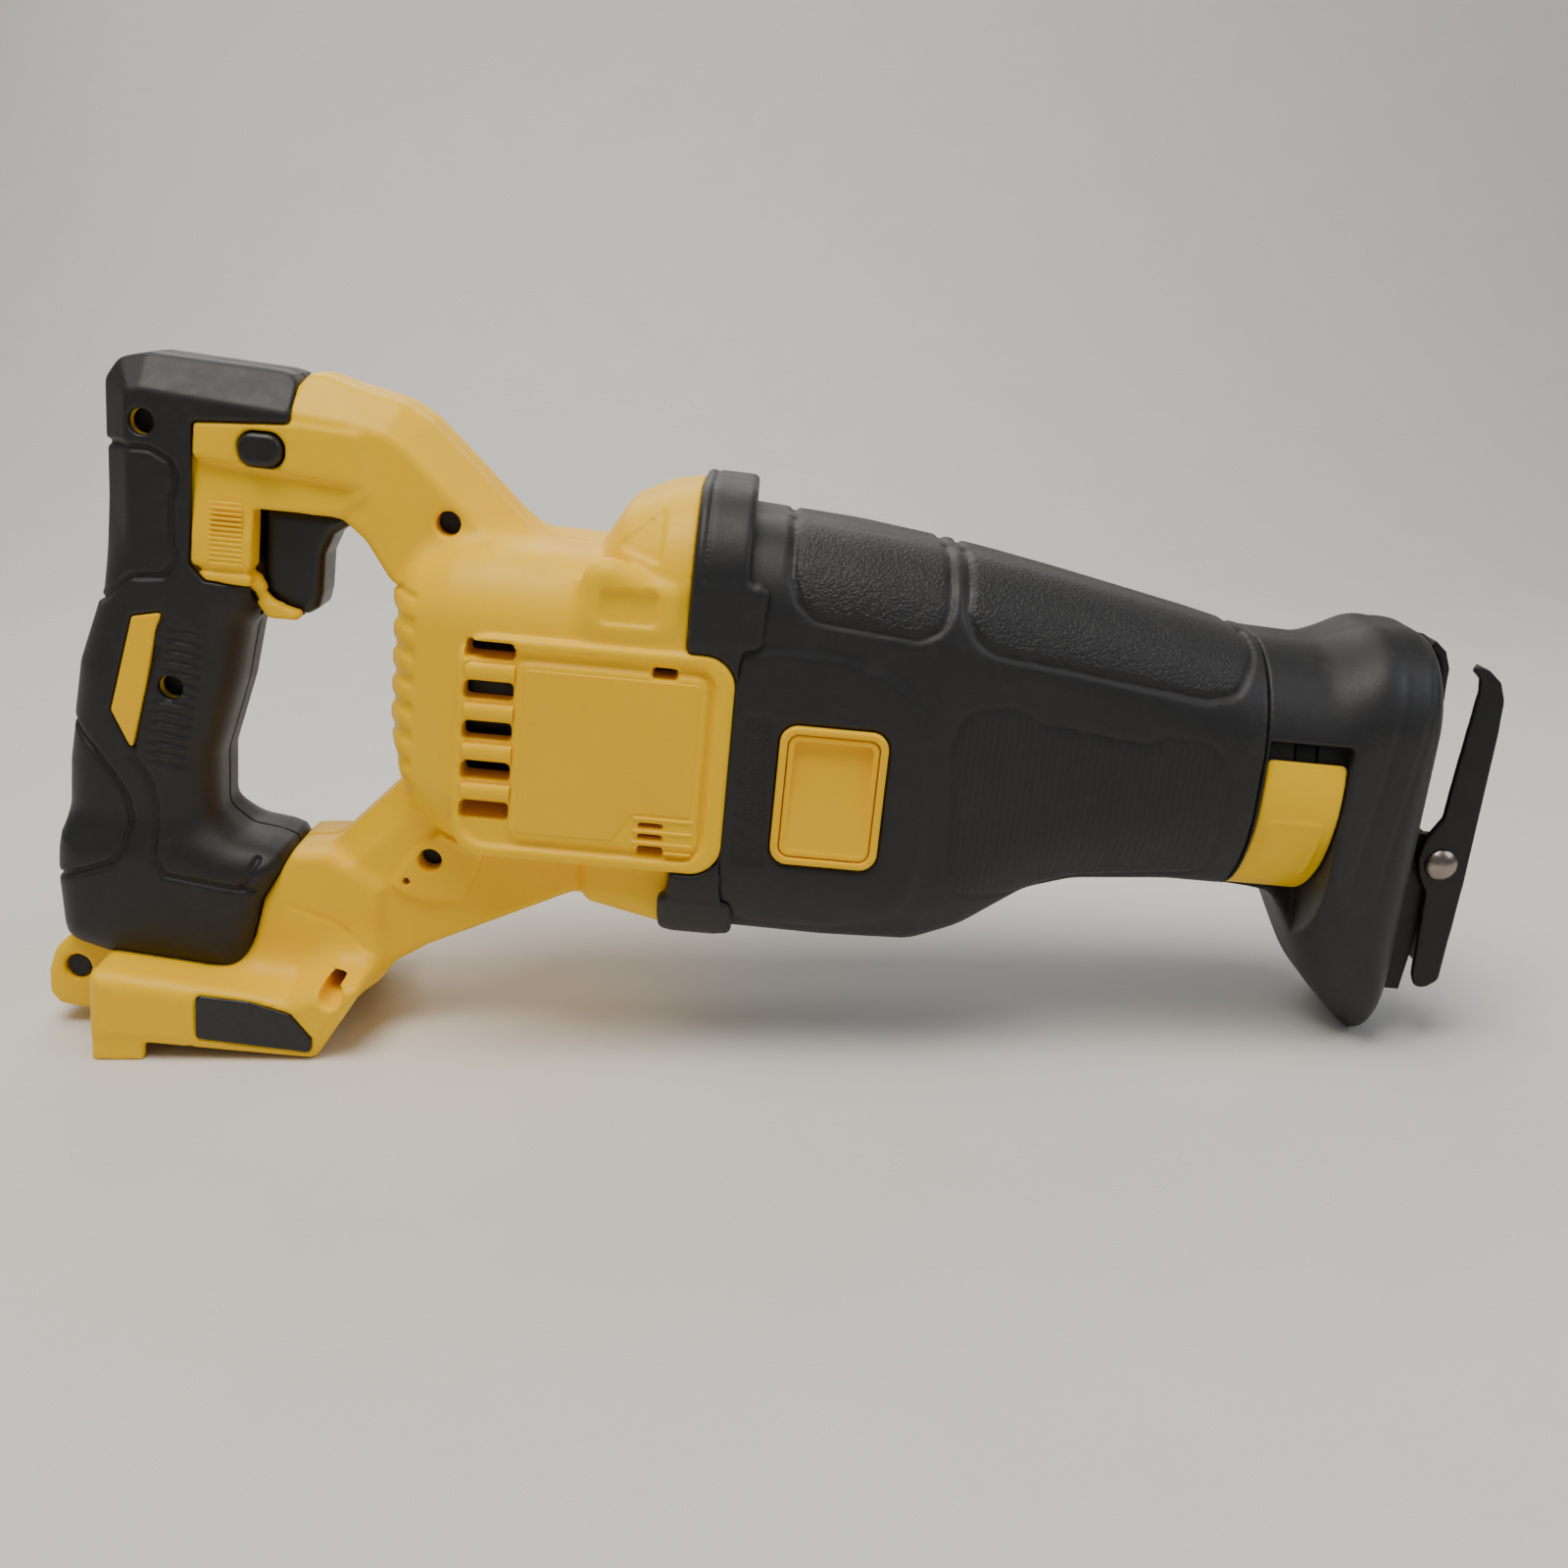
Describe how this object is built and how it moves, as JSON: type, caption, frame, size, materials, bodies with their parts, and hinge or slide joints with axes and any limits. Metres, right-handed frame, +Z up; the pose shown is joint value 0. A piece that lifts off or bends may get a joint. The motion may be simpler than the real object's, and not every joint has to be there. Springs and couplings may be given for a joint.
{
  "type": "reciprocating saw",
  "caption": "Cordless reciprocating saw with a D-shaped rear handle, battery foot, inline motor housing, rubber-booted gear case, round nose with a flared bumper and a pivoting front shoe",
  "frame": {"origin": "on the floor, under the middle of the saw's bounding box as it stands on its battery foot and nose boot", "axes": "+X toward the nose and shoe, +Y toward the saw's left side, +Z up; the stroke axis dips 5.5 degrees below +X toward the nose"},
  "size_m": [0.4286, 0.0842, 0.2004],
  "materials": {
    "housing_yellow": "satin moulded glass-filled nylon",
    "grip_rubber": "matte moulded thermoplastic rubber",
    "badge_black": "smooth plastic badge, left bare",
    "black_plastic": "matte moulded nylon",
    "black_steel": "black oxide steel",
    "bright_steel": "ground steel",
    "motor_steel": "stacked steel laminations",
    "copper_wire": "enamelled copper wire",
    "brass": "plain brass",
    "dark_casting": "die-cast aluminium under a dark coat",
    "cast_aluminium": "die-cast aluminium",
    "clear_lens": "clear polycarbonate lens"
  },
  "bodies": {
    "housing": {"housing_right": "housing_yellow", "housing_left": "housing_yellow", "grip_rubber_right": "grip_rubber", "grip_rubber_left": "grip_rubber", "grip_insert_right": "housing_yellow", "grip_insert_left": "housing_yellow", "side_plate_right": "housing_yellow", "side_plate_left": "housing_yellow", "badge_right": "badge_black", "badge_left": "badge_black", "housing_screws": "black_steel", "switch_module": "black_plastic", "terminal_block": "black_plastic", "terminals": "brass", "controller": "cast_aluminium", "stator": "motor_steel", "windings": "copper_wire", "rear_bearing": "bright_steel", "front_bearing": "bright_steel", "gear_case": "dark_casting", "gear_cover": "dark_casting", "gear_axle": "bright_steel", "plunger_bushing": "brass", "plunger_seal": "grip_rubber", "boot_collar": "grip_rubber", "boot": "grip_rubber", "boot_bumper": "grip_rubber", "work_light": "clear_lens", "button_frame": "housing_yellow", "lock_spring": "bright_steel"},
    "motor_rotor": {"rotor": "bright_steel", "fan": "black_plastic", "pinion": "bright_steel"},
    "crank": {"crank_gear": "bright_steel", "crank_roller": "bright_steel"},
    "plunger": {"plunger": "bright_steel", "clamp_pin": "bright_steel"},
    "clamp": {"clamp_collar": "black_steel"},
    "lever": {"release_lever": "housing_yellow"},
    "trigger": {"trigger": "black_plastic"},
    "lock_button": {"lock_button": "black_plastic"},
    "shoe_button": {"shoe_button": "housing_yellow", "lock_stem": "bright_steel"},
    "shoe_post": {"shoe_post": "bright_steel", "shoe_bracket": "black_steel", "shoe_rivet": "bright_steel"},
    "shoe": {"shoe": "black_steel"}
  },
  "joints": [
    {"name": "rotor_spin", "type": "hinge", "parent": "housing", "child": "motor_rotor", "pos_m": [-0.0116, 0, 0.0975], "axis": [0.9954, 0, -0.0958], "continuous": true},
    {"name": "crank_spin", "type": "hinge", "parent": "housing", "child": "crank", "pos_m": [0.03419, 0, 0.09309], "axis": [0.0958, 0, 0.9954], "continuous": true},
    {"name": "plunger_slide", "type": "slide", "parent": "housing", "child": "plunger", "axis": [0.9954, 0, -0.0958], "range_m": [-0.0143, 0.0143]},
    {"name": "lever_turn", "type": "hinge", "parent": "housing", "child": "lever", "pos_m": [0.15264, 0, 0.08168], "axis": [-0.9954, 0, 0.0958], "range_deg": [0, 35], "stiffness_Nm_per_rad": 0.2, "springref_deg": -11.46},
    {"name": "clamp_turn", "type": "hinge", "parent": "plunger", "child": "clamp", "pos_m": [0.1616, 0, 0.08082], "axis": [-0.9954, 0, 0.0958], "range_deg": [0, 35]},
    {"name": "trigger_pull", "type": "slide", "parent": "housing", "child": "trigger", "axis": [-0.9954, 0, 0.0958], "range_m": [0, 0.007], "stiffness_N_per_m": 900, "springref_m": -0.003},
    {"name": "lock_slide", "type": "slide", "parent": "housing", "child": "lock_button", "axis": [0, 1, 0], "range_m": [0, 0.004]},
    {"name": "shoe_button_push", "type": "slide", "parent": "housing", "child": "shoe_button", "axis": [0, 1, 0], "range_m": [0, 0.003], "stiffness_N_per_m": 1500, "springref_m": -0.003, "deforming": ["lock_spring"]},
    {"name": "shoe_post_slide", "type": "slide", "parent": "housing", "child": "shoe_post", "axis": [0.9954, 0, -0.0958], "range_m": [0, 0.025]},
    {"name": "shoe_pivot", "type": "hinge", "parent": "shoe_post", "child": "shoe", "pos_m": [0.20248, 0, 0.05679], "axis": [0, 1, 0], "range_deg": [-6, 8]}
  ],
  "couplings": [
    {"joint": "crank_spin", "follows": "rotor_spin", "ratio": -0.16667},
    {"joint": "clamp_turn", "follows": "lever_turn", "ratio": 1}
  ]
}
